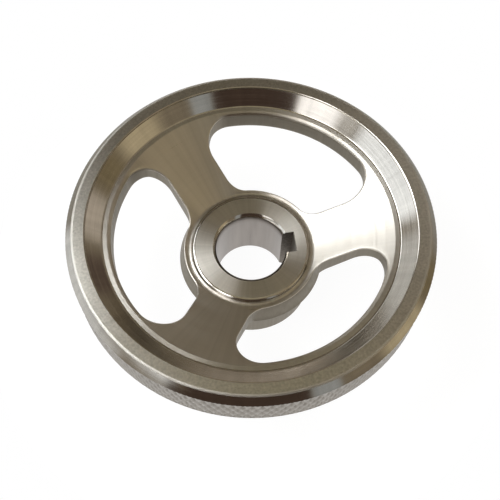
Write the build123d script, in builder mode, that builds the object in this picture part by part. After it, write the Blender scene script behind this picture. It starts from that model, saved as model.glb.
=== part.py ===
from build123d import *
import os

# Machine handwheel: one stainless steel casting, turned on its face and rim, with three spokes.
# It is dished: the web is a cone that falls from the rim to a hub that stands out at the back.
# Sizes are in millimetres and angles in degrees. The wheel's axis is Z, the hub's back face lies
# on Z = 0, and the keyway and the first spoke point along +X.

# Rim: an upright grip band, a bevel above it, a flat crown, and a second bevel down to a ledge
rim_diameter = 100.0
rim_height = 13.5
rim_bevel_width = 2.0
rim_bevel_height = 2.3
crown_width = 3.2
inner_bevel_width = 4.15
inner_bevel_depth = 4.05
ledge_width = 1.45
rim_back_width = 9.2
rim_back_fillet = 1.0
rim_edge_break = 0.5

# Hub: a boss round the bore, whose front face lies well below the crown
hub_length = 20.0
hub_recess = 15.5
hub_face_diameter = 32.8
hub_bevel_width = 1.2
hub_bevel_height = 1.2
hub_foot_fillet = 1.0
boss_diameter = 36.0
boss_edge_break = 0.5
boss_fillet = 3.0

# Bore and keyway
bore_diameter = 20.0
bore_chamfer = 1.0
key_width = 6.0
key_depth = 2.8

# Web: a cone in front, from the ledge down to the hub's foot, and a steeper one behind.
# Its thickness is measured along the axis, at the windows' outer wall and at the hub's root.
web_rim_thickness = 5.7
web_root_thickness = 6.8
web_back_land = 2.2
web_back_fillet = 3.0

# Windows: cut straight through between the spokes; on the hub's side the wall flares outwards
spoke_count = 3
spoke_width = 15.35
window_corner_radius = 6.8
largest_corner_share = 0.45
window_to_ledge = 1.0
window_to_hub = 1.1
hub_root_flare = 1.5

# Heights along the axis
crown_z = hub_length + hub_recess
rim_back_z = crown_z - rim_height
ledge_z = crown_z - inner_bevel_depth

# Radii, from the rim inwards
rim_radius = rim_diameter / 2
crown_outer_radius = rim_radius - rim_bevel_width
crown_inner_radius = crown_outer_radius - crown_width
ledge_radius = crown_inner_radius - inner_bevel_width
rim_back_radius = rim_radius - rim_back_width
web_radius = ledge_radius - ledge_width
hub_face_radius = hub_face_diameter / 2
boss_radius = boss_diameter / 2
bore_radius = bore_diameter / 2

# The web's cone joins the ledge to the foot of the hub's front bevel
hub_foot_radius = hub_face_radius + hub_bevel_width
hub_foot_z = hub_length - hub_bevel_height
web_fall = (ledge_z - hub_foot_z) / (web_radius - hub_foot_radius)


def web_front_z(radius):
    """Height of the web's conical front at a distance from the axis."""
    return ledge_z - (web_radius - radius) * web_fall


def corner_of(sketch, point):
    """The corner of a sketch that lies nearest to a point."""
    return sketch.vertices().sort_by_distance(point)[0]


# The windows keep clear of the ledge, and of the boss or the bevel's foot, whichever is wider
window_outer_radius = web_radius - window_to_ledge
window_inner_radius = max(hub_foot_radius, boss_radius) + window_to_hub
window_depth = window_outer_radius - window_inner_radius
corner_radius = min(window_corner_radius, window_depth * largest_corner_share)
root_radius = window_inner_radius + hub_root_flare
bend_radius = window_outer_radius - web_back_land

# Points of the turned section, as radius and height
web_inner_front = (window_inner_radius, web_front_z(window_inner_radius))
hub_foot = (hub_foot_radius, hub_foot_z)
bore_front = (bore_radius, hub_length)
bore_back = (bore_radius, 0)
boss_back = (boss_radius, 0)
back_bend = (bend_radius, web_front_z(window_outer_radius) - web_rim_thickness)
back_root = (root_radius, web_front_z(root_radius) - web_root_thickness)
boss_top = (boss_radius, back_root[1] - (root_radius - boss_radius))
rim_back_corner = (rim_back_radius, back_bend[1])
rim_back_inner = (rim_back_radius, rim_back_z)
rim_back_outer = (rim_radius, rim_back_z)

# Radius that the flare of the hub's root would reach at the height of the hub's back
flare_slope = hub_root_flare / (web_inner_front[1] - back_root[1])
flare_base = (window_inner_radius + web_inner_front[1] * flare_slope, 0)

# What the windows take away: a ring less the spokes, with round corners, straight through
with BuildPart() as windows:
    with BuildSketch() as window_outlines:
        Circle(window_outer_radius)
        Circle(window_inner_radius, mode=Mode.SUBTRACT)
        with PolarLocations(0, spoke_count):
            Rectangle(rim_radius, spoke_width, align=(Align.MIN, Align.CENTER), mode=Mode.SUBTRACT)
        fillet(window_outlines.vertices(), corner_radius)
    extrude(amount=crown_z)

    # The hub's flared root stays behind the windows' inner edge
    with BuildSketch(Plane.XZ) as root_section:
        with BuildLine():
            Polyline((0, web_inner_front[1]), web_inner_front, flare_base, (0, 0), close=True)
        make_face()
    revolve(axis=Axis.Z, mode=Mode.SUBTRACT)

with BuildPart() as handwheel:
    # The turned and bored section: hub, web and rim
    with BuildSketch(Plane.XZ) as section:
        with BuildLine():
            Polyline(
                bore_front,
                bore_back,
                boss_back,
                boss_top,
                back_root,
                back_bend,
                rim_back_corner,
                rim_back_inner,
                rim_back_outer,
                (rim_radius, crown_z - rim_bevel_height),
                (crown_outer_radius, crown_z),
                (crown_inner_radius, crown_z),
                (ledge_radius, ledge_z),
                (web_radius, ledge_z),
                hub_foot,
                (hub_face_radius, hub_length),
                close=True,
            )
        make_face()
        fillet(corner_of(section, hub_foot), hub_foot_fillet)
        fillet(corner_of(section, boss_top), boss_fillet)
        fillet(corner_of(section, back_bend), web_back_fillet)
        fillet(corner_of(section, rim_back_corner), rim_back_fillet)
        chamfer(corner_of(section, bore_front), bore_chamfer)
        chamfer(corner_of(section, bore_back), bore_chamfer)
        chamfer(corner_of(section, boss_back), boss_edge_break)
        chamfer(corner_of(section, rim_back_inner), rim_edge_break)
        chamfer(corner_of(section, rim_back_outer), rim_edge_break)
    revolve(axis=Axis.Z)

    # Windows between the spokes
    add(windows.part, mode=Mode.SUBTRACT)

    # Keyway along the whole bore, on the first spoke's centre line
    with BuildSketch() as keyway:
        Rectangle(bore_radius + key_depth, key_width, align=(Align.MIN, Align.CENTER))
    extrude(amount=hub_length, mode=Mode.SUBTRACT)

handwheel.part.label = "handwheel"
os.makedirs("parts", exist_ok=True)
export_step(handwheel.part, "parts/handwheel.step")
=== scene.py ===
"""Dressed model of a machine handwheel: a dished stainless wheel with three spokes.

The wheel is one casting, turned on its face and rim, with a rolled diamond knurl round the grip.
It is drawn here as one closed mesh, in millimetres from the same origin as the CAD solid: the
axis is Z, the hub's back face lies on Z = 0, and the first spoke and the keyway point along +X.
"""

import logging
import math
from collections.abc import Callable, Sequence
from dataclasses import dataclass, field
from enum import Enum

import bmesh
import bpy
from mathutils import Matrix, Vector


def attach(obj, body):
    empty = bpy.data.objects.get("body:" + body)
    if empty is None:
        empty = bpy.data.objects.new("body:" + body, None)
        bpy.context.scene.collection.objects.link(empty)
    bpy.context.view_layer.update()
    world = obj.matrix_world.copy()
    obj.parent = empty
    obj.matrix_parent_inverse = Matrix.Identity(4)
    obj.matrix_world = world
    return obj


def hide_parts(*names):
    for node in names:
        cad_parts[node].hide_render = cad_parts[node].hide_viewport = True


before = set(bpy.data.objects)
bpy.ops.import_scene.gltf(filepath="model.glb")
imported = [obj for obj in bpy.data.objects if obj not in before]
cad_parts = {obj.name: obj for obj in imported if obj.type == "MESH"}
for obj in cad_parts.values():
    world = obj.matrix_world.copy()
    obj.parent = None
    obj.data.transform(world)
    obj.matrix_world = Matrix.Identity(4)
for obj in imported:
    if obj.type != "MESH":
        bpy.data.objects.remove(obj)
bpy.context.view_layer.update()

MM = 0.001
SPOKES = 3
SECTOR = 2 * math.pi / SPOKES
# Straight pieces in the section of each round
ROUND_STEPS = 3
# Round on both edges of a small chamfer, in millimetres
SOFT_EDGE = 0.1
# Points closer than this are one point, in millimetres
WELD_GAP = 0.0005

log = logging.getLogger("handwheel")

Point = tuple[float, float, float]
Plan = tuple[float, float]
Tree = bpy.types.NodeTree
Socket = bpy.types.NodeSocket


# ------------------------------------------------------------------------------------------------
# Making nodes, materials and objects
# ------------------------------------------------------------------------------------------------


def linear(hex_colour: str) -> tuple[float, float, float, float]:
    """Turns an sRGB hex colour into Blender's linear RGBA, by the curve of the sRGB standard.

    Args:
        hex_colour: Six hex digits after a hash sign.

    Returns:
        The colour as linear red, green, blue and alpha.
    """
    channels = [int(hex_colour[i : i + 2], 16) / 255 for i in (1, 3, 5)]
    red, green, blue = (
        c / 12.92 if c <= 0.04045 else ((c + 0.055) / 1.055) ** 2.4 for c in channels
    )
    return red, green, blue, 1.0


def add_node(
    tree: Tree,
    kind: str,
    settings: dict[str, object] | None = None,
    inputs: dict[str | int, object] | None = None,
) -> bpy.types.NodeOutputs:
    """Adds a node, sets its properties and its sockets, and links what comes from other nodes.

    Args:
        tree: The node tree that gets the node.
        kind: The node's type without the word ShaderNode that begins it.
        settings: Properties of the node by name.
        inputs: Values or output sockets by the input's name or index.

    Returns:
        The new node's outputs.
    """
    node = tree.nodes.new("ShaderNode" + kind)
    for name, value in (settings or {}).items():
        setattr(node, name, value)
    for name, value in (inputs or {}).items():
        if isinstance(value, Socket):
            tree.links.new(value, node.inputs[name])
        else:
            node.inputs[name].default_value = value
    return node.outputs


def empty_material(name: str) -> bpy.types.Material:
    """Makes a material without any nodes.

    Args:
        name: The material's name.

    Returns:
        The material.
    """
    material = bpy.data.materials.new(name)
    material.use_nodes = True
    material.node_tree.nodes.clear()
    return material


def new_object(name: str, data: bpy.types.ID) -> bpy.types.Object:
    """Makes an object and puts it into the scene.

    Args:
        name: The object's name.
        data: Its mesh or camera.

    Returns:
        The object.
    """
    made = bpy.data.objects.new(name, data)
    bpy.context.scene.collection.objects.link(made)
    return made


# ------------------------------------------------------------------------------------------------
# Finishes
# ------------------------------------------------------------------------------------------------


class Marks(Enum):
    """The direction in which the tool has left its marks."""

    ROUND = "round the axis"
    ALONG = "along the axis"
    NONE = "in no direction"


@dataclass(frozen=True)
class SteelFinish:
    """Austenitic stainless steel with one surface finish, its sizes in millimetres.

    Stainless reflects like a slightly warm grey mirror. The finish decides how wide the
    reflection spreads, and in which direction the tool's marks draw it out.
    """

    name: str
    colour: str
    roughness: float
    marks: Marks = Marks.NONE
    stretch: float = 0.0
    mark_pitch: float = 0.6
    mark_depth: float = 0.0
    mark_contrast: float = 0.0
    grain_size: float = 0.8
    grain_depth: float = 0.0
    grain_contrast: float = 0.0
    fan_contrast: float = 0.0
    roughness_spread: float = 0.2
    cloud_size: float = 14.0
    cloud_contrast: float = 0.05
    # How often marks round the axis change, and how many widths long the marks along it are
    changes_per_radian: float = 1.6
    length_to_width: float = 12.5
    bore_radius: float = 10.0
    streaks_per_radian: float = 14.0
    streak_roughness: float = 0.65
    # The values of a pattern between which the tint changes, and those for the roughness
    tint_span: Plan = (0.3, 0.7)
    roughness_span: Plan = (0.25, 0.75)

    def material(self) -> bpy.types.Material:
        """Builds the node material for this finish.

        Returns:
            The material.
        """
        material = empty_material(self.name)
        tree = material.node_tree
        place = add_node(tree, "TexCoord")["Object"]
        marks = self._mark_lines(tree, place)
        level = {0: place, 1: (1.0, 1.0, 0.0)}
        level = add_node(tree, "VectorMath", {"operation": "MULTIPLY"}, level)["Vector"]
        outward = add_node(tree, "VectorMath", {"operation": "NORMALIZE"}, {0: level})["Vector"]
        # Soft clouds, the metal's grain, and streaks that fan out from the axis
        clouds, grain, fan = (
            add_node(tree, "TexNoise", inputs=inputs)["Fac"]
            for inputs in (
                {"Vector": place, "Scale": 1 / (self.cloud_size * MM), "Detail": 3.0},
                {"Vector": place, "Scale": 1 / (self.grain_size * MM), "Detail": 4.0},
                {
                    "Vector": outward,
                    "Scale": self.streaks_per_radian,
                    "Detail": 4.0,
                    "Roughness": self.streak_roughness,
                },
            )
        )
        tint: Socket | float = 1.0
        for pattern, contrast in (
            (clouds, self.cloud_contrast),
            (marks, self.mark_contrast),
            (grain, self.grain_contrast),
            (fan, self.fan_contrast),
        ):
            span = {"From Min": self.tint_span[0], "From Max": self.tint_span[1]}
            span |= {"Value": pattern, "To Min": 1 - contrast, "To Max": 1.0}
            fade = add_node(tree, "MapRange", inputs=span)["Result"]
            tint = add_node(tree, "Math", {"operation": "MULTIPLY"}, {0: tint, 1: fade})["Value"]
        tinted = {0: linear(self.colour)[:3], "Scale": tint}
        span = {"From Min": self.roughness_span[0], "From Max": self.roughness_span[1]}
        span["To Min"] = self.roughness * (1 - self.roughness_spread)
        span["To Max"] = self.roughness * (1 + self.roughness_spread)
        inputs = {
            "Base Color": add_node(tree, "VectorMath", {"operation": "SCALE"}, tinted)["Vector"],
            "Metallic": 1.0,
            "Roughness": add_node(tree, "MapRange", inputs=span | {"Value": marks})["Result"],
            "Anisotropic": self.stretch,
            # Light is drawn out across the marks: round the axis, or a quarter turn from that
            "Anisotropic Rotation": 0.0 if self.marks is Marks.ALONG else 0.25,
            "Normal": self._relief(tree, marks, grain),
        }
        if self.marks is not Marks.NONE:
            radial = {"direction_type": "RADIAL", "axis": "Z"}
            inputs["Tangent"] = add_node(tree, "Tangent", radial)["Tangent"]
        shader = add_node(tree, "BsdfPrincipled", inputs=inputs)["BSDF"]
        add_node(tree, "OutputMaterial", inputs={"Surface": shader})
        return material

    def _mark_lines(self, tree: Tree, place: Socket) -> Socket:
        """Makes a pattern of fine lines that follow the tool's marks.

        Args:
            tree: The material's node tree.
            place: The point's place on the wheel, in metres.

        Returns:
            The pattern's value, about 0 to 1.
        """
        x, y, z = add_node(tree, "SeparateXYZ", inputs={"Vector": place})
        flat = add_node(tree, "CombineXYZ", inputs={"X": x, "Y": y})["Vector"]
        radius = add_node(tree, "VectorMath", {"operation": "LENGTH"}, {0: flat})["Value"]
        angle = add_node(tree, "Math", {"operation": "ARCTAN2"}, {0: y, 1: x})["Value"]
        # Lines follow a direction where the pattern changes quickly across it, slowly along it
        across = 1 / (self.mark_pitch * MM)
        steps = {
            Marks.ROUND: ((radius, across), (angle, self.changes_per_radian), (z, across)),
            Marks.ALONG: (
                (angle, self.bore_radius * MM * across),
                (z, across / self.length_to_width),
                (z, 1.0),
            ),
            Marks.NONE: ((x, across), (y, across), (z, 1.0)),
        }
        scaled = [
            add_node(tree, "Math", {"operation": "MULTIPLY"}, {0: source, 1: step})["Value"]
            for source, step in steps[self.marks]
        ]
        lines = add_node(tree, "CombineXYZ", inputs=dict(zip("XYZ", scaled)))["Vector"]
        inputs = {"Vector": lines, "Scale": 1.0, "Detail": 2.0}
        return add_node(tree, "TexNoise", inputs=inputs)["Fac"]

    def _relief(self, tree: Tree, marks: Socket, grain: Socket) -> Socket:
        """Adds the relief of the marks and of the metal's grain.

        Args:
            tree: The material's node tree.
            marks: The pattern of tool marks.
            grain: The pattern of the grain.

        Returns:
            The bumped normal.
        """
        relief = {"Strength": 1.0, "Distance": self.mark_depth * MM, "Height": marks}
        lined = add_node(tree, "Bump", inputs=relief)["Normal"]
        relief |= {"Distance": self.grain_depth * MM, "Height": grain, "Normal": lined}
        return add_node(tree, "Bump", inputs=relief)["Normal"]


class Finish(Enum):
    """The finishes on the wheel, each with how its surface was made.

    A finishing cut leaves lines about 0.1 mm apart, and handled, blasted or broached metal has a
    grain of about 0.1 mm. Both are too fine to show, so marks and grain are drawn 3 to 7 times as
    coarse, and the reamer's marks about 20 times.
    """

    # Faced on the lathe: fine rings that draw a light out into a bow tie
    FACED = SteelFinish(
        "stainless_faced", "#CDC7BC", 0.415, Marks.ROUND, 0.925,
        mark_pitch=0.35, mark_depth=0.004, mark_contrast=0.10, fan_contrast=0.14,
    )
    # The crown: faced, then dulled by handling into a fine mottle
    CROWN = SteelFinish(
        "stainless_worn_crown", "#CFCABF", 0.31, Marks.ROUND, 0.62,
        mark_pitch=0.5, mark_depth=0.002, mark_contrast=0.05, fan_contrast=0.10,
        grain_size=0.6, grain_depth=0.03, grain_contrast=0.30, roughness_spread=0.06,
    )
    # Turned with a fine feed and polished: almost a mirror
    POLISHED = SteelFinish(
        "stainless_polished_bevel", "#CFC9BF", 0.13, Marks.ROUND, 0.6,
        mark_pitch=0.5, mark_depth=0.002, mark_contrast=0.12, fan_contrast=0.16,
        cloud_size=4.0, cloud_contrast=0.08,
    )
    # The crown's outer edge, worn round by hands: satin, so that a light on it has soft ends
    WORN_EDGE = SteelFinish(
        "stainless_worn_edge", "#C8C3B9", 0.50, Marks.ROUND, 0.5, mark_pitch=0.5,
        mark_depth=0.002, mark_contrast=0.05, fan_contrast=0.10, roughness_spread=0.06,
    )
    # The web's cone: turned, then blended by hand into an even satin with faint streaks
    WEB = SteelFinish(
        "stainless_turned_web", "#CBC4B8", 0.34, Marks.ROUND, 0.72,
        mark_pitch=0.5, mark_depth=0.002, mark_contrast=0.04, fan_contrast=0.16,
    )
    # Rolled, not cut: pressed diamonds, satin on their flanks
    KNURL = SteelFinish(
        "stainless_rolled_knurl", "#ABA59D", 0.42,
        grain_size=0.5, grain_depth=0.01, mark_contrast=0.08,
    )
    # As cast and blasted: matt and slightly uneven
    CAST = SteelFinish(
        "stainless_blasted_casting", "#8B8477", 0.50,
        grain_size=0.6, grain_depth=0.03, mark_contrast=0.06,
    )
    # Reamed: satin, with soft marks along the bore
    REAMED = SteelFinish(
        "stainless_reamed_bore", "#9C958F", 0.32, Marks.ALONG, 0.5,
        mark_pitch=2.2, mark_depth=0.004, mark_contrast=0.24,
    )
    # Broached: torn a little by the cutter, so rough, mottled and darker
    BROACHED = SteelFinish(
        "stainless_broached_keyway", "#8A8176", 0.42,
        grain_size=0.7, grain_depth=0.08, grain_contrast=0.45, mark_contrast=0.25,
    )


# ------------------------------------------------------------------------------------------------
# Mesh drawing
# ------------------------------------------------------------------------------------------------


@dataclass
class Draft:
    """A mesh in the making: rows of points in millimetres, joined by faces that carry a finish."""

    points: list[Point] = field(default_factory=list)
    faces: list[tuple[tuple[int, ...], Finish]] = field(default_factory=list)

    def row(self, points: Sequence[Point]) -> range:
        """Adds a row of points and returns their numbers."""
        self.points.extend(points)
        return range(len(self.points) - len(points), len(self.points))

    def stack(
        self, rows: Sequence[Sequence[Point]], finishes: Sequence[Finish], keyed: int = 0
    ) -> None:
        """Joins closed rows one after the other by bands of four-sided faces.

        Args:
            rows: The rows, all of the same length.
            finishes: Each band's finish.
            keyed: Number of faces to each side of a row's start that lie in the keyway, and are
                broached wherever their band isn't faced.
        """
        numbers = [self.row(row) for row in rows]
        for first, second, finish in zip(numbers, numbers[1:], finishes):
            count = len(first)
            for k in range(count):
                after = (k + 1) % count
                broached = finish is not Finish.FACED and min(k, count - 1 - k) < keyed
                ring = (first[k], first[after], second[after], second[k])
                self.faces.append((ring, Finish.BROACHED if broached else finish))

    def build(self, name: str) -> bpy.types.Object:
        """Makes the object: points that meet are joined, and faces look outwards.

        Args:
            name: The new object's name.

        Returns:
            The object, with one material for each finish in use.
        """
        rings = [ring for ring, _ in self.faces]
        finishes = [finish for _, finish in self.faces]
        used = [finish for finish in Finish if finish in finishes]
        mesh = bpy.data.meshes.new(name)
        mesh.from_pydata([tuple(c * MM for c in point) for point in self.points], [], rings)
        for finish in used:
            mesh.materials.append(finish.value.material())
        mesh.polygons.foreach_set("material_index", [used.index(finish) for finish in finishes])
        # The knurl's flanks are shaded flat, and everything else smooth
        smooth = [finish is not Finish.KNURL for finish in finishes]
        mesh.polygons.foreach_set("use_smooth", smooth)
        shape = bmesh.new()
        shape.from_mesh(mesh)
        bmesh.ops.remove_doubles(shape, verts=shape.verts, dist=WELD_GAP * MM)
        bmesh.ops.dissolve_degenerate(shape, edges=shape.edges, dist=WELD_GAP * MM)
        bmesh.ops.recalc_face_normals(shape, faces=shape.faces)
        open_edges = sum(1 for edge in shape.edges if len(edge.link_faces) != 2)
        triangles = sum(len(face.verts) - 2 for face in shape.faces)
        log.info("%s: %d triangles, %d open edges", name, triangles, open_edges)
        shape.to_mesh(mesh)
        shape.free()
        return new_object(name, mesh)


@dataclass(frozen=True)
class Corner:
    """A corner of a turned section, with the round that breaks it and the finish that follows it.

    The round is half in the finish before it and half in the one after it, unless it has its own.
    """

    radius: float
    height: float
    rounding: float = 0.0
    finish: Finish = Finish.FACED
    rounded: Finish | None = None


def turned_section(corners: Sequence[Corner]) -> tuple[list[Plan], list[Finish]]:
    """Rounds the inner corners of a section.

    Args:
        corners: The section's corners in order, of which the two end ones stay sharp.

    Returns:
        The section's points as radius and height, and the finish of each piece between them.
    """
    points: list[Plan] = [(corners[0].radius, corners[0].height)]
    finishes: list[Finish] = []
    for before, corner, after in zip(corners, corners[1:], corners[2:]):
        if corner.rounding == 0:
            points.append((corner.radius, corner.height))
            finishes.append(before.finish)
            continue
        here = Vector((corner.radius, corner.height))
        back = (Vector((before.radius, before.height)) - here).normalized()
        ahead = (Vector((after.radius, after.height)) - here).normalized()
        opening = back.angle(ahead)
        reach = corner.rounding / math.tan(opening / 2)
        centre = here + (back + ahead).normalized() * corner.rounding / math.sin(opening / 2)
        start, end = here + back * reach - centre, here + ahead * reach - centre
        turn = start.angle_signed(end)
        for step in range(ROUND_STEPS + 1):
            share = step / ROUND_STEPS
            spoke = start.copy()
            spoke.rotate(Matrix.Rotation(-turn * share, 2))
            points.append(tuple(centre + spoke))
            half = before.finish if share <= 0.5 else corner.finish
            finishes.append(before.finish if step == 0 else corner.rounded or half)
    points.append((corners[-1].radius, corners[-1].height))
    finishes.append(corners[-2].finish)
    return points, finishes


def tangent_reach(rounding: float, turn: float) -> float:
    """Distance from a corner to where its round begins, for a turn in radians."""
    return rounding * math.tan(turn / 2)


def full_circle(radius: float, height: float, count: int) -> list[Point]:
    """Points of a circle round the axis, from the first spoke onwards."""
    angles = [2 * math.pi * k / count for k in range(count)]
    return [(radius * math.cos(angle), radius * math.sin(angle), height) for angle in angles]


def between(
    first: Sequence[tuple[float, ...]], second: Sequence[tuple[float, ...]], share: float
) -> list[tuple[float, ...]]:
    """The row that lies part of the way from one row of points to another."""
    return [tuple(a + (b - a) * share for a, b in zip(p, q)) for p, q in zip(first, second)]


@dataclass(frozen=True)
class Arc:
    """An arc in an outline seen from above, with its angles in radians from +X."""

    centre: Plan
    radius: float
    start: float
    end: float

    @property
    def length(self) -> float:
        """Length of the arc."""
        return self.radius * abs(self.end - self.start)

    def at(self, share: float) -> Plan:
        """The point a share of the way along the arc."""
        x, y, angle = *self.centre, self.start + (self.end - self.start) * share
        return x + self.radius * math.cos(angle), y + self.radius * math.sin(angle)


@dataclass(frozen=True)
class Line:
    """A straight piece in an outline seen from above."""

    start: Plan
    end: Plan

    @property
    def length(self) -> float:
        """Length of the line."""
        return math.dist(self.start, self.end)

    def at(self, share: float) -> Plan:
        """The point a share of the way along the line."""
        return between([self.start], [self.end], share)[0]


def paced(pieces: Sequence[Arc | Line], count: int, closed: bool = False) -> list[Plan]:
    """Points at an even pace along arcs and lines that follow each other.

    Args:
        pieces: The arcs and lines.
        count: Number of steps.
        closed: Whether the end point is given too.

    Returns:
        The points.
    """
    points = []
    for step in range(count + closed):
        walk = sum(piece.length for piece in pieces) * step / count
        index = 0
        while index < len(pieces) - 1 and walk > pieces[index].length:
            walk -= pieces[index].length
            index += 1
        points.append(pieces[index].at(walk / pieces[index].length))
    return points


# ------------------------------------------------------------------------------------------------
# Sub-assemblies
# ------------------------------------------------------------------------------------------------


@dataclass
class Knurl:
    """The diamond knurl: two sets of grooves that cross, rolled into the grip band."""

    diamonds: int = 129
    rows: int = 9
    groove_depth: float = 0.34
    columns_per_diamond: int = 4
    edge_share: float = 0.16

    @property
    def columns(self) -> int:
        """Number of points round the wheel, which the rest of the wheel shares."""
        return self.diamonds * self.columns_per_diamond

    def depth(self, column: float, row: float) -> float:
        """Depth of the grooves at a point of the pattern.

        Args:
            column: Place round the wheel, in columns.
            row: Place up the band, in rows.

        Returns:
            The depth below the grip band, in millimetres.
        """
        deepest = 0.0
        for lean in (1, -1):
            share = (column + lean * row) / self.columns_per_diamond
            away = abs(share - round(share)) * self.columns_per_diamond
            deepest = max(deepest, 1 - away)
        at_edge = row in (0, self.rows)
        return self.groove_depth * deepest * (self.edge_share if at_edge else 1.0)

    def draw(
        self, draft: Draft, radius: float, low: float, high: float, rise: float
    ) -> tuple[list[Point], list[Point]]:
        """Draws the band, with grooves that run out on the chamfer below and the bevel above.

        Args:
            draft: The mesh in the making.
            radius: Radius of the band over the diamonds.
            low: Height of the band's lower edge.
            high: Height of the band's upper edge.
            rise: How far the bevel above rises for each millimetre that it goes in.

        Returns:
            The points of the lower and of the upper edge.
        """
        rises = {0: -1.0, self.rows: rise}
        rings = []
        for row in range(self.rows + 1):
            height = low + (high - low) * row / self.rows
            rings.append([
                self._point(radius, column, row, height, rises.get(row, 0.0))
                for column in range(self.columns)
            ])
        numbers = [draft.row(ring) for ring in rings]
        for row, (lower, upper) in enumerate(zip(numbers, numbers[1:])):
            height = low + (high - low) * (row + 0.5) / self.rows
            for column in range(self.columns):
                after = (column + 1) % self.columns
                middle = draft.row([self._point(radius, column + 0.5, row + 0.5, height)])[0]
                ring = (lower[column], lower[after], upper[after], upper[column])
                for one, two in zip(ring, ring[1:] + ring[:1]):
                    draft.faces.append(((one, two, middle), Finish.KNURL))
        return rings[0], rings[-1]

    def _point(
        self, radius: float, column: float, row: float, height: float, rise: float = 0.0
    ) -> Point:
        """Places a point of the pattern on the wheel.

        Args:
            radius: Radius of the band over the diamonds.
            column: Place round the wheel, in columns.
            row: Place up the band, in rows.
            height: Height of the point without the grooves.
            rise: How far the point moves up for each millimetre of depth.

        Returns:
            The point.
        """
        angle, depth = 2 * math.pi * column / self.columns, self.depth(column, row)
        reach = radius - depth
        return reach * math.cos(angle), reach * math.sin(angle), height + depth * rise


@dataclass
class Rim:
    """The rim: knurled grip band, bevel, crown, inner bevel and ledge, and the back."""

    diameter: float = 100.0
    height: float = 13.5
    crown_height: float = 35.5
    bevel_width: float = 2.0
    bevel_height: float = 2.3
    crown_width: float = 3.2
    inner_bevel_width: float = 4.15
    inner_bevel_depth: float = 4.05
    ledge_width: float = 1.45
    back_width: float = 9.2
    back_fillet: float = 1.0
    back_break: float = 0.3
    outer_round: float = 0.9
    inner_round: float = 0.1
    chamfer_outset: float = 0.05
    chamfer_inset: float = 0.2
    chamfer_drop: float = 0.13
    lip_inset: float = 0.28
    lip_drop: float = 0.55
    lip_round: float = 0.06
    foot_round: float = 0.8
    ledge_round: float = 0.45
    # Where a ring lies between knurl and crown, as a share of the way up the bevel
    bevel_split: float = 0.3

    @property
    def radius(self) -> float:
        """Outer radius, over the knurl."""
        return self.diameter / 2

    @property
    def crown_outer(self) -> float:
        """Outer radius of the crown."""
        return self.radius - self.bevel_width

    @property
    def crown_inner(self) -> float:
        """Inner radius of the crown."""
        return self.crown_outer - self.crown_width

    @property
    def ledge_outer(self) -> float:
        """Radius at the foot of the inner bevel."""
        return self.crown_inner - self.inner_bevel_width

    @property
    def ledge_inner(self) -> float:
        """Radius where the ledge meets the web."""
        return self.ledge_outer - self.ledge_width

    @property
    def ledge_height(self) -> float:
        """Height of the ledge."""
        return self.crown_height - self.inner_bevel_depth

    @property
    def back_height(self) -> float:
        """Height of the rim's back face."""
        return self.crown_height - self.height

    @property
    def back_inner(self) -> float:
        """Inner radius of the rim's back face."""
        return self.radius - self.back_width

    def draw(self, draft: Draft, knurl: Knurl, web: "Web") -> None:
        """Draws the whole rim, from the web's front round to the web's back.

        Args:
            draft: The mesh in the making.
            knurl: The grip band's pattern.
            web: The web that the rim carries.
        """
        rise = self.bevel_height / self.bevel_width
        crown, inner, split = self.crown_height, self.crown_inner, self.bevel_split
        grip_top = crown - self.bevel_height
        grip_bottom = self.back_height + self.back_break
        bottom, top = knurl.draw(draft, self.radius, grip_bottom, grip_top, rise)
        chamfer, lip = self.chamfer_inset, self.lip_round
        polished, faced, worn = Finish.POLISHED, Finish.FACED, Finish.WORN_EDGE
        front = [
            Corner(web.ledge_join, web.front_height(web.ledge_join), 0.0, Finish.WEB),
            Corner(self.ledge_inner, self.ledge_height, self.ledge_round, faced),
            Corner(self.ledge_outer, self.ledge_height, self.foot_round, polished, polished),
            Corner(inner - self.lip_inset, crown - self.lip_drop, lip, polished),
            Corner(inner - chamfer, crown - self.chamfer_drop, lip, polished),
            Corner(inner + self.chamfer_outset, crown, self.inner_round, Finish.CROWN),
            Corner(self.crown_outer, crown, self.outer_round, polished, worn),
            Corner(
                self.radius - split * self.bevel_width,
                grip_top + split * self.bevel_height,
                0.0,
                polished,
            ),
        ]
        back = [
            Corner(web.rim_join, web.back_height(web.rim_join), 0.0, Finish.CAST),
            Corner(self.back_inner, web.land_height, self.back_fillet, Finish.CAST),
            Corner(self.back_inner, self.back_height + self.back_break, SOFT_EDGE, faced),
            Corner(self.back_inner + self.back_break, self.back_height, SOFT_EDGE, faced),
            Corner(self.radius - self.back_break, self.back_height, 0.0, faced),
        ]
        # Each section ends on an edge of the knurl
        for corners, last in ((front, top), (back, bottom)):
            points, finishes = turned_section(corners)
            rows = [full_circle(radius, height, knurl.columns) for radius, height in points]
            draft.stack([*rows, last], [*finishes, corners[-1].finish])


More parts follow.
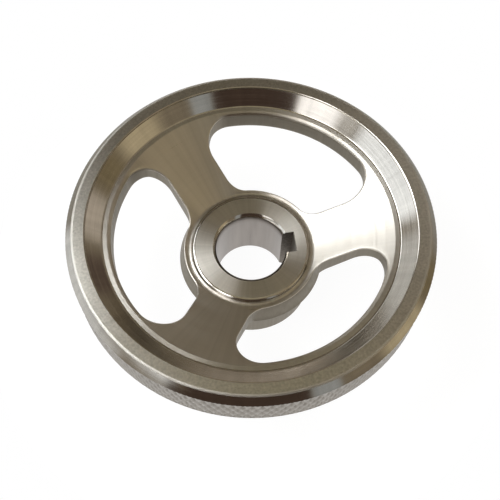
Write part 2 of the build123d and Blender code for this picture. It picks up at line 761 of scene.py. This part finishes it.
@dataclass
class Web:
    """The web: a cone that three windows cut into spokes."""

    rim: Rim
    hub: "Hub"
    rim_thickness: float = 5.7
    root_thickness: float = 6.8
    back_land: float = 2.2
    back_fillet: float = 3.0
    spoke_width: float = 15.35
    corner_radius: float = 6.8
    window_to_ledge: float = 1.0
    window_to_hub: float = 1.1
    root_flare: float = 1.5
    edge_round: float = 0.45
    side_columns: int = 26
    front_rows: int = 7
    wall_rows: int = 8
    back_rows: int = 10
    # How strongly the back's rows gather towards the rim and the boss
    back_gathering: float = 1.5

    @property
    def fall(self) -> float:
        """How far the front falls for each millimetre towards the hub."""
        drop = self.rim.ledge_height - self.hub.foot_height
        return drop / (self.rim.ledge_inner - self.hub.foot_radius)

    @property
    def slope(self) -> float:
        """Slope of the front, in radians."""
        return math.atan(self.fall)

    @property
    def window_outer(self) -> float:
        """Radius of the windows' outer wall."""
        return self.rim.ledge_inner - self.window_to_ledge

    @property
    def window_inner(self) -> float:
        """Radius of the windows' inner wall at the front."""
        return max(self.hub.foot_radius, self.hub.boss_radius) + self.window_to_hub

    @property
    def root_radius(self) -> float:
        """Radius of the windows' inner wall at the back."""
        return self.window_inner + self.root_flare

    @property
    def bend_radius(self) -> float:
        """Radius where the back bends from the flat land to the cone."""
        return self.window_outer - self.back_land

    @property
    def land_height(self) -> float:
        """Height of the flat land at the back."""
        return self.front_height(self.window_outer) - self.rim_thickness

    @property
    def root_height(self) -> float:
        """Height of the back at the windows' inner wall."""
        return self.front_height(self.root_radius) - self.root_thickness

    @property
    def ledge_join(self) -> float:
        """Radius on the cone where the ledge's edge round begins."""
        reach = tangent_reach(self.rim.ledge_round, self.slope)
        return self.rim.ledge_inner - reach * math.cos(self.slope)

    @property
    def hub_join(self) -> float:
        """Radius on the cone where the hub's foot fillet begins."""
        reach = tangent_reach(self.hub.foot_fillet, self.slope + self.hub.bevel_slope)
        return self.hub.foot_radius + reach * math.cos(self.slope)

    @property
    def rim_join(self) -> float:
        """Radius on the land where the rings of the rim's back begin."""
        return self.rim.ledge_inner

    @property
    def boss_join(self) -> Plan:
        """Radius and height where the fillet between a 45 degree cone and the boss ends on it."""
        corner = self.root_height - (self.root_radius - self.hub.boss_radius)
        return self.hub.boss_radius, corner - tangent_reach(self.hub.boss_fillet, math.pi / 4)

    def front_height(self, radius: float) -> float:
        """Height of the conical front at a radius."""
        return self.rim.ledge_height - (self.rim.ledge_inner - radius) * self.fall

    def back_height(self, radius: float) -> float:
        """Height of the back at a radius, with its land, cone and fillets.

        Args:
            radius: Distance from the axis.

        Returns:
            The height in millimetres.
        """
        slope = (self.land_height - self.root_height) / (self.bend_radius - self.root_radius)
        turn = math.atan(slope)
        reach = tangent_reach(self.back_fillet, turn)
        boss_radius, boss_end = self.boss_join
        fillet = self.hub.boss_fillet
        if radius >= self.bend_radius + reach:
            return self.land_height
        if radius >= self.bend_radius - reach * math.cos(turn):
            away = self.bend_radius + reach - radius
            return self.land_height - self.back_fillet + math.sqrt(self.back_fillet**2 - away**2)
        if radius >= self.root_radius:
            return self.land_height - (self.bend_radius - radius) * slope
        if radius >= boss_radius + fillet * (1 - math.cos(math.pi / 4)):
            return self.root_height - (self.root_radius - radius)
        away = min(fillet, boss_radius + fillet - radius)
        return boss_end + math.sqrt(fillet**2 - away**2)

    def flare_radius(self, height: float) -> float:
        """Radius of the windows' inner wall at a height."""
        top = self.front_height(self.window_inner)
        return self.window_inner + self.root_flare * (top - height) / (top - self.root_height)

    def draw(self, draft: Draft, columns: int) -> None:
        """Draws the front, the windows' walls and the back, one sector for each window.

        Args:
            draft: The mesh in the making.
            columns: Number of points round the whole wheel.
        """
        half_sector = columns // SPOKES // 2
        front_edge = self._loop(half_sector, self.edge_round)
        front_rim = self._border(half_sector, self.ledge_join, self.hub_join)
        back_edge = self._loop(half_sector, self.edge_round, self.root_radius - self.edge_round)
        back_rim = self._border(half_sector, self.rim_join, self.boss_join[0])
        rows: list[list[Point]] = []
        for step in range(self.front_rows):
            outline = between(front_rim, front_edge, step / self.front_rows)
            rows.append(self._laid(outline, self.front_height))
        walls = self._wall(half_sector)
        rows.extend(walls)
        for step in range(1, self.back_rows + 1):
            share = 1 - (1 - step / self.back_rows) ** self.back_gathering
            outline = between(back_edge, back_rim, share)
            rows.append(self._laid(outline, self.back_height))
        # The cone's finish goes over the round at the windows' front edge
        turned = self.front_rows + ROUND_STEPS
        finishes = [Finish.WEB] * turned + [Finish.CAST] * (len(rows) - 1 - turned)
        for sector in range(SPOKES):
            cosine, sine = math.cos(sector * SECTOR), math.sin(sector * SECTOR)
            turned_rows = [
                [(x * cosine - y * sine, x * sine + y * cosine, z) for x, y, z in row]
                for row in rows
            ]
            draft.stack(turned_rows, finishes)
        log.info("web: %d points round each window, %d rows", len(rows[0]), len(rows))

    def _wall(self, half_sector: int) -> list[list[Point]]:
        """Rows of a window's wall, from the round at its front edge to the round at its back edge.

        Args:
            half_sector: Number of steps round half a sector.

        Returns:
            The rows from front to back.
        """
        size = self.edge_round
        tilts = [math.pi / 2 * step / ROUND_STEPS for step in range(ROUND_STEPS + 1)]
        # How far each row of a round lies from the wall and from the face that it meets
        offsets = [(size * (1 - math.sin(tilt)), size * (1 - math.cos(tilt))) for tilt in tilts]
        rows = [
            self._laid(self._loop(half_sector, from_wall), self.front_height, -from_face)
            for from_wall, from_face in offsets
        ]
        wall = self._loop(half_sector, 0.0)
        for step in range(1, self.wall_rows):
            row = []
            for x, y in wall:
                radius = math.hypot(x, y)
                top = self.front_height(radius) - size
                bottom = self.back_height(max(radius, self.root_radius)) + size
                height = top + (bottom - top) * step / self.wall_rows
                pushed = max(radius, self.flare_radius(height)) / radius
                row.append((x * pushed, y * pushed, height))
            rows.append(row)
        for lift, offset in offsets:
            outline = self._loop(half_sector, offset, self.root_radius - offset)
            rows.append(self._laid(outline, self.back_height, lift))
        return rows

    def _laid(
        self, outline: Sequence[Plan], height: Callable[[float], float], lift: float = 0.0
    ) -> list[Point]:
        """An outline laid on a turned surface, or lifted off it."""
        return [(x, y, height(math.hypot(x, y)) + lift) for x, y in outline]

    def _mirrored(self, half: Sequence[Plan]) -> list[Plan]:
        """Closes half an outline by its mirror image about the middle of the window.

        Args:
            half: The half from the middle of the outer arc to the middle of the inner one.

        Returns:
            The closed outline.
        """
        cosine, sine = math.cos(SECTOR), math.sin(SECTOR)
        image = ((x * cosine + y * sine, x * sine - y * cosine) for x, y in reversed(half[1:-1]))
        return [*half, *image]

    def _border(self, half_sector: int, outer: float, inner: float) -> list[Plan]:
        """The border of a sector, with as many points as the window's outline.

        Args:
            half_sector: Number of steps round half a sector.
            outer: Radius of the border's outer arc.
            inner: Radius of its inner arc.

        Returns:
            The border's points, from the middle of the outer arc.
        """
        return self._mirrored([
            *paced([Arc((0.0, 0.0), outer, SECTOR / 2, 0.0)], half_sector),
            *paced([Line((outer, 0.0), (inner, 0.0))], self.side_columns),
            *paced([Arc((0.0, 0.0), inner, 0.0, SECTOR / 2)], half_sector, closed=True),
        ])

    def _loop(self, half_sector: int, offset: float, least: float = 0.0) -> list[Plan]:
        """A window's outline, moved into the metal by an offset.

        Args:
            half_sector: Number of steps round half a sector.
            offset: How far the outline lies outside the window.
            least: Radius that no point may be inside of.

        Returns:
            The outline's points, from the middle of the outer arc.
        """
        outer, inner = self.window_outer + offset, self.window_inner - offset
        fillet, side = self.corner_radius + offset, self.spoke_width / 2 - offset
        level = side + fillet
        outer_x = math.sqrt((outer - fillet) ** 2 - level**2)
        inner_x = math.sqrt((inner + fillet) ** 2 - level**2)
        outer_turn, inner_turn = math.atan2(level, outer_x), math.atan2(level, inner_x)
        # Each corner is split in the middle, half to its arc and half to the spoke's side
        down, last = -math.pi / 2, inner_turn - math.pi
        outer_middle, inner_middle = (outer_turn + down) / 2, (down + last) / 2
        outward = [
            Arc((0.0, 0.0), outer, SECTOR / 2, outer_turn),
            Arc((outer_x, level), fillet, outer_turn, outer_middle),
        ]
        along_spoke = [
            Arc((outer_x, level), fillet, outer_middle, down),
            Line((outer_x, side), (inner_x, side)),
            Arc((inner_x, level), fillet, down, inner_middle),
        ]
        inward = [
            Arc((inner_x, level), fillet, inner_middle, last),
            Arc((0.0, 0.0), inner, inner_turn, SECTOR / 2),
        ]
        half = [
            *paced(outward, half_sector),
            *paced(along_spoke, self.side_columns),
            *paced(inward, half_sector, closed=True),
        ]
        grown = ((x, y, max(1.0, least / math.hypot(x, y))) for x, y in half)
        return self._mirrored([(x * growth, y * growth) for x, y, growth in grown])


@dataclass
class Hub:
    """The hub: its front face and bevel, the bore with its keyway, and the boss at the back."""

    length: float = 20.0
    face_diameter: float = 32.8
    bevel_width: float = 1.2
    bevel_height: float = 1.2
    foot_fillet: float = 1.0
    boss_diameter: float = 36.0
    boss_break: float = 0.5
    boss_fillet: float = 3.0
    bore_diameter: float = 20.0
    bore_chamfer: float = 0.75
    key_width: float = 6.0
    key_depth: float = 2.8
    face_round: float = 1.1
    bright_band: float = 0.6
    edge_round: float = 0.15
    collar_width: float = 1.2
    end_columns: int = 19
    side_columns: int = 11
    bore_rows: int = 6
    # Where the rings between collar and keyway lie, as shares of the way
    front_rings: Plan = (0.35, 0.7)
    back_rings: Plan = (0.3, 0.755)
    # Where the rounds at the bore's two mouths end, as shares of the edge round
    round_near: float = 0.3
    round_far: float = 0.7

    @property
    def face_radius(self) -> float:
        """Outer radius of the front face."""
        return self.face_diameter / 2

    @property
    def foot_radius(self) -> float:
        """Radius at the foot of the front bevel."""
        return self.face_radius + self.bevel_width

    @property
    def foot_height(self) -> float:
        """Height at the foot of the front bevel."""
        return self.length - self.bevel_height

    @property
    def bevel_slope(self) -> float:
        """Slope of the front bevel, in radians."""
        return math.atan2(self.bevel_height, self.bevel_width)

    @property
    def boss_radius(self) -> float:
        """Radius of the boss at the back."""
        return self.boss_diameter / 2

    @property
    def collar_radius(self) -> float:
        """Radius on the faces where the rings give way to the keyway's outline."""
        return self.bore_diameter / 2 + self.key_depth + self.collar_width

    def draw(self, draft: Draft, web: Web, columns: int) -> None:
        """Draws the hub from the web's front, through the bore, to the web's back.

        Args:
            draft: The mesh in the making.
            web: The web that the hub carries.
            columns: Number of points round the wheel.
        """
        face, band, polished = self.face_radius, self.bright_band, Finish.POLISHED
        boss_radius, boss_end = web.boss_join
        front = [
            Corner(web.hub_join, web.front_height(web.hub_join), 0.0, Finish.WEB),
            Corner(self.foot_radius, self.foot_height, self.foot_fillet, Finish.WEB),
            Corner(face + band, self.length - band, 0.0, polished),
            Corner(face, self.length, self.face_round, Finish.FACED, polished),
            Corner(self.collar_radius, self.length),
        ]
        back = [
            Corner(boss_radius, boss_end, 0.0, Finish.CAST),
            Corner(boss_radius, self.boss_break, SOFT_EDGE),
            Corner(boss_radius - self.boss_break, 0.0, SOFT_EDGE),
            Corner(self.collar_radius, 0.0),
        ]
        for corners in (front, back):
            points, finishes = turned_section(corners)
            rows = [full_circle(radius, height, columns) for radius, height in points]
            draft.stack(rows, finishes)
        self._draw_bore(draft, columns)

    def _draw_bore(self, draft: Draft, columns: int) -> None:
        """Draws the faces next to the bore, the bore and its keyway.

        Args:
            draft: The mesh in the making.
            columns: Number of points round the wheel.
        """
        bore, chamfer, top = self.bore_diameter / 2, self.bore_chamfer, self.length
        lip = self.edge_round
        mouth, near, far = bore + chamfer, lip * self.round_near, lip * self.round_far
        deep, shallow = top - chamfer - lip, chamfer + lip
        # Radius, height, growth of the keyway and finish of the band below, from the front down
        levels = [
            (mouth + lip, top, lip, Finish.POLISHED),
            (mouth, top - far, 0.0, Finish.POLISHED),
            (bore + far, top - chamfer + near, 0.0, Finish.REAMED),
        ]
        for step in range(self.bore_rows + 1):
            height = deep + (shallow - deep) * step / self.bore_rows
            levels.append((bore, height, 0.0, Finish.REAMED))
        levels += [(mouth, far, 0.0, Finish.POLISHED), (mouth + lip, 0.0, lip, Finish.FACED)]
        outlines = [self._key_outline(*level[:3], columns) for level in levels]
        first = full_circle(self.collar_radius, top, columns)
        last = full_circle(self.collar_radius, 0.0, columns)
        rows = [
            first,
            *(between(first, outlines[0], share) for share in self.front_rings),
            *outlines,
            *(between(outlines[-1], last, share) for share in self.back_rings),
            last,
        ]
        finishes = [Finish.FACED] * (1 + len(self.front_rings)) + [level[3] for level in levels]
        finishes += [Finish.FACED] * len(self.back_rings)
        draft.stack(rows, finishes, keyed=self.end_columns + self.side_columns)

    def _key_outline(self, radius: float, height: float, grow: float, columns: int) -> list[Point]:
        """Draws the outline of bore and keyway, from the middle of the keyway's floor round.

        Args:
            radius: The bore's radius there.
            height: The height.
            grow: How far the keyway's outline is moved outwards.
            columns: Number of points in the outline.

        Returns:
            The outline's points.
        """
        side = self.key_width / 2 + grow
        floor = self.bore_diameter / 2 + self.key_depth + grow
        mouth = (math.sqrt(radius**2 - side**2), side)
        bore = Arc((0.0, 0.0), radius, math.atan2(side, mouth[0]), math.pi)
        bore_columns = columns // 2 - self.end_columns - self.side_columns
        half = [
            *paced([Line((floor, 0.0), (floor, side))], self.end_columns),
            *paced([Line((floor, side), mouth)], self.side_columns),
            *paced([bore], bore_columns, closed=True),
        ]
        return [(x, y, height) for x, y in (*half, *((x, -y) for x, y in reversed(half[1:-1])))]


@dataclass
class Handwheel:
    """The whole wheel, from its three sub-assemblies."""

    knurl: Knurl = field(default_factory=Knurl)
    rim: Rim = field(default_factory=Rim)
    hub: Hub = field(default_factory=Hub)
    # Edges that turn by more than this are shaded as edges, in degrees
    sharp_angle: float = 34.0

    def build(self) -> bpy.types.Object:
        """Builds the wheel as one closed mesh in place of the CAD solid.

        Returns:
            The wheel's object.
        """
        web = Web(self.rim, self.hub)
        draft = Draft()
        self.rim.draw(draft, self.knurl, web)
        web.draw(draft, self.knurl.columns)
        self.hub.draw(draft, web, self.knurl.columns)
        wheel = draft.build("dressed_handwheel")
        weighted = wheel.modifiers.new("even_normals", "WEIGHTED_NORMAL")
        weighted.keep_sharp = True
        wheel.data.set_sharp_from_angle(angle=math.radians(self.sharp_angle))
        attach(wheel, "root")
        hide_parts("handwheel")
        return wheel


# ------------------------------------------------------------------------------------------------
# Studio
# ------------------------------------------------------------------------------------------------


@dataclass(frozen=True)
class Card:
    """A soft patch of the studio round the wheel, in the direction in which it stands.

    Bearings are in degrees from +X towards +Y, and heights in degrees above the horizon.
    """

    colour: str
    strength: float
    bearing: float
    half_width: float
    low: float
    high: float
    softness: float


@dataclass
class Studio:
    """The floor, the light and the camera, in millimetres and degrees."""

    floor_radius: float = 80.0
    floor_sides: int = 96
    floor_colour: str = "#EFEFEF"
    floor_glow: float = 1.06
    # Share of the floor's look that glows, while the rest takes the shadow
    floor_share: float = 0.9
    room_radius: float = 900.0
    room_detail: int = 4
    walls: str = "#8C816F"
    cards: tuple[Card, ...] = (
        # Ceiling
        Card("#ADA68E", 1.0, 0.0, 180.0, 71.0, 100.0, 6.0),
        # Table beyond the floor's paper
        Card("#A6A49E", 1.0, 0.0, 180.0, -100.0, -14.0, 4.0),
        # Shaded upper part of the far wall, and a lit part beside it
        Card("#3E3832", 1.0, 90.0, 40.0, 38.0, 56.0, 6.0),
        Card("#A0978A", 1.0, 44.0, 21.0, 40.0, 70.0, 5.0),
        # Warm upper wall at the far left of the light
        Card("#B5A78E", 1.0, 330.0, 22.0, 52.0, 66.0, 4.0),
        # Pale and tan things low on the right, with dark gaps between them
        Card("#CBC1B4", 1.0, 20.0, 9.0, -8.0, 32.0, 3.0),
        Card("#CCBE9F", 1.0, 336.0, 12.0, -20.0, 50.0, 5.0),
        Card("#897C61", 1.0, 359.0, 8.0, -20.0, 44.0, 5.0),
        Card("#62544B", 1.0, 41.0, 7.0, 0.0, 17.0, 3.0),
        Card("#B5AA9C", 1.0, 86.0, 13.0, -30.0, 6.0, 5.0),
        # White wall on the left: its paler side, its foot, its lower and its upper part
        Card("#DEDFDE", 1.0, 117.0, 21.0, -8.0, 28.0, 4.0),
        Card("#F2F6FA", 1.05, 175.0, 28.0, -19.0, 2.0, 4.0),
        Card("#F2F8FF", 1.65, 187.0, 41.0, 8.0, 24.0, 4.0),
        Card("#4E4038", 1.0, 234.0, 8.0, -20.0, 10.0, 3.0),
        Card("#F2F8FF", 1.6, 169.0, 24.0, 18.0, 42.0, 5.0),
        # Window, the main light
        Card("#F4F9FF", 3.0, 135.0, 14.0, 26.0, 48.0, 4.0),
        Card("#F4F9FF", 9.0, 162.0, 28.0, 44.0, 60.0, 2.5),
        # Post beside the window, and the low and the high pane beyond it
        Card("#D6D4D0", 1.0, 203.0, 7.0, 26.0, 48.0, 3.0),
        Card("#FAFBFF", 2.1, 220.0, 13.0, 35.0, 50.0, 3.0),
        Card("#FAFBFF", 6.0, 209.0, 14.0, 52.0, 70.0, 2.5),
        # Dark screen in front, and a bluish strip beside it
        Card("#4E4038", 1.0, 261.5, 27.0, -30.0, 60.0, 1.8),
        Card("#AEB2B4", 1.0, 295.5, 6.5, -20.0, 54.0, 1.5),
    )
    camera_place: Point = (-16.47, -97.10, 214.32)
    look: Point = (0.07385, 0.44177, -0.8941)
    roll: float = -1.80
    lens: float = 54.88
    sensor: float = 36.0
    nearest: float = 10.0

    def build(self) -> None:
        """Builds the studio round the wheel."""
        self._build_floor()
        self._build_world()
        self._build_room()
        self._build_camera()

    def _shell(
        self, name: str, shape: bmesh.types.BMesh, material: bpy.types.Material
    ) -> bpy.types.Object:
        """Makes an object of a shape with one material.

        Args:
            name: The object's name.
            shape: Its shape, which is freed.
            material: Its material.

        Returns:
            The object.
        """
        mesh = bpy.data.meshes.new(name)
        shape.to_mesh(mesh)
        shape.free()
        mesh.materials.append(material)
        return new_object(name, mesh)

    def _build_floor(self) -> None:
        """Builds a pale floor under the hub, which keeps a faint shadow."""
        material = empty_material("matt_white_paper")
        tree = material.node_tree
        paper = add_node(tree, "BsdfDiffuse", inputs={"Color": linear(self.floor_colour)})["BSDF"]
        glow = add_node(tree, "Emission", inputs={"Strength": self.floor_glow})["Emission"]
        # The glow is there for what is seen directly, in metal or through glass
        rays = add_node(tree, "LightPath")
        seen: Socket | float = 0.0
        for name in ("Is Camera Ray", "Is Glossy Ray", "Is Transmission Ray"):
            both = {0: seen, 1: rays[name]}
            seen = add_node(tree, "Math", {"operation": "MAXIMUM"}, both)["Value"]
        shown = {0: seen, 1: self.floor_share}
        shown = add_node(tree, "Math", {"operation": "MULTIPLY"}, shown)["Value"]
        mix = add_node(tree, "MixShader", inputs={0: shown, 1: paper, 2: glow})["Shader"]
        add_node(tree, "OutputMaterial", inputs={"Surface": mix})
        shape = bmesh.new()
        bmesh.ops.create_circle(
            shape, cap_ends=True, segments=self.floor_sides, radius=self.floor_radius * MM
        )
        floor = self._shell("studio_floor", shape, material)

    def _build_world(self) -> None:
        """Builds a plain white background."""
        world = bpy.data.worlds.new("white_background")
        bpy.context.scene.world = world
        world.use_nodes = True
        tree = world.node_tree
        tree.nodes.clear()
        white = {"Color": linear("#FFFFFF"), "Strength": 1.0}
        white = add_node(tree, "Background", inputs=white)["Background"]
        add_node(tree, "OutputWorld", inputs={"Surface": white})

    def _build_room(self) -> None:
        """Builds the room round the wheel, which lights it and which its metal reflects."""
        material = empty_material("lit_room_walls")
        tree = material.node_tree
        place = add_node(tree, "TexCoord")["Object"]
        direction = add_node(tree, "VectorMath", {"operation": "NORMALIZE"}, {0: place})["Vector"]
        upward = add_node(tree, "SeparateXYZ", inputs={"Vector": direction})["Z"]
        climb = add_node(tree, "Math", {"operation": "ARCSINE"}, {0: upward})["Value"]
        light = linear(self.walls)
        for card in self.cards:
            light = self._add_card(tree, card, direction, climb, light)
        shining = add_node(tree, "Emission", inputs={"Color": light, "Strength": 1.0})["Emission"]
        add_node(tree, "OutputMaterial", inputs={"Surface": shining})
        shape = bmesh.new()
        bmesh.ops.create_icosphere(
            shape, subdivisions=self.room_detail, radius=self.room_radius * MM
        )
        bmesh.ops.reverse_faces(shape, faces=shape.faces)
        room = self._shell("studio_room", shape, material)
        room.visible_camera = False
        room.visible_shadow = False

    def _add_card(
        self,
        tree: Tree,
        card: Card,
        direction: Socket,
        climb: Socket,
        light: Socket | tuple[float, ...],
    ) -> Socket:
        """Lays a card over the light so far.

        Args:
            tree: The room material's node tree.
            card: The card.
            direction: The direction from the wheel, of length 1.
            climb: The direction's height above the horizon, in radians.
            light: The light so far.

        Returns:
            The light with the card.
        """
        bearing, width, low, high, soft = (
            math.radians(degrees)
            for degrees in (card.bearing, card.half_width, card.low, card.high, card.softness)
        )
        cosine, sine = math.cos(bearing), math.sin(bearing)
        dot = {"operation": "DOT_PRODUCT"}
        ahead, aside = (
            add_node(tree, "VectorMath", dot, {0: direction, 1: axis})["Value"]
            for axis in ((cosine, sine, 0.0), (-sine, cosine, 0.0))
        )
        turn = add_node(tree, "Math", {"operation": "ARCTAN2"}, {0: aside, 1: ahead})["Value"]
        off = add_node(tree, "Math", {"operation": "ABSOLUTE"}, {0: turn})["Value"]
        # Each edge fades what the edges before it have left of the card
        cover: Socket | float = 1.0
        for value, empty, full in (
            (off, width + soft, width - soft),
            (climb, low - soft, low + soft),
            (climb, high + soft, high - soft),
        ):
            edge = {"Value": value, "From Min": empty, "From Max": full, "To Max": cover}
            smooth = {"interpolation_type": "SMOOTHSTEP"}
            cover = add_node(tree, "MapRange", smooth, edge)["Result"]
        shade = (*(channel * card.strength for channel in linear(card.colour)[:3]), 1.0)
        # A colour mix has its two colours in sockets 6 and 7, and gives its own in 2
        blend = {"data_type": "RGBA", "clamp_factor": True}
        return add_node(tree, "Mix", blend, {0: cover, 6: light, 7: shade})[2]

    def _build_camera(self) -> None:
        """Builds the camera, which looks down at the wheel from the front."""
        data = bpy.data.cameras.new("studio_camera")
        data.lens = self.lens
        data.sensor_width = self.sensor
        data.clip_start = self.nearest * MM
        camera = new_object("studio_camera", data)
        look = Vector(self.look).normalized()
        right = look.cross(Vector((0, 0, 1))).normalized()
        upward = right.cross(look)
        turn = math.radians(self.roll)
        side = right * math.cos(turn) - upward * math.sin(turn)
        top = right * math.sin(turn) + upward * math.cos(turn)
        matrix = Matrix((side, top, -look)).transposed().to_4x4()
        matrix.translation = Vector(self.camera_place) * MM
        camera.matrix_world = matrix
        bpy.context.scene.camera = camera
        bpy.context.scene.view_settings.view_transform = "Standard"


def main() -> None:
    """Builds the wheel and the studio, and reports each."""
    logging.basicConfig(level=logging.INFO, format="%(name)s: %(message)s")
    wheel = Handwheel().build()
    log.info("wheel: %s, %d faces", wheel.name, len(wheel.data.polygons))
    Studio().build()
    log.info("studio: floor, light and camera")


if __name__ == "__main__":
    main()
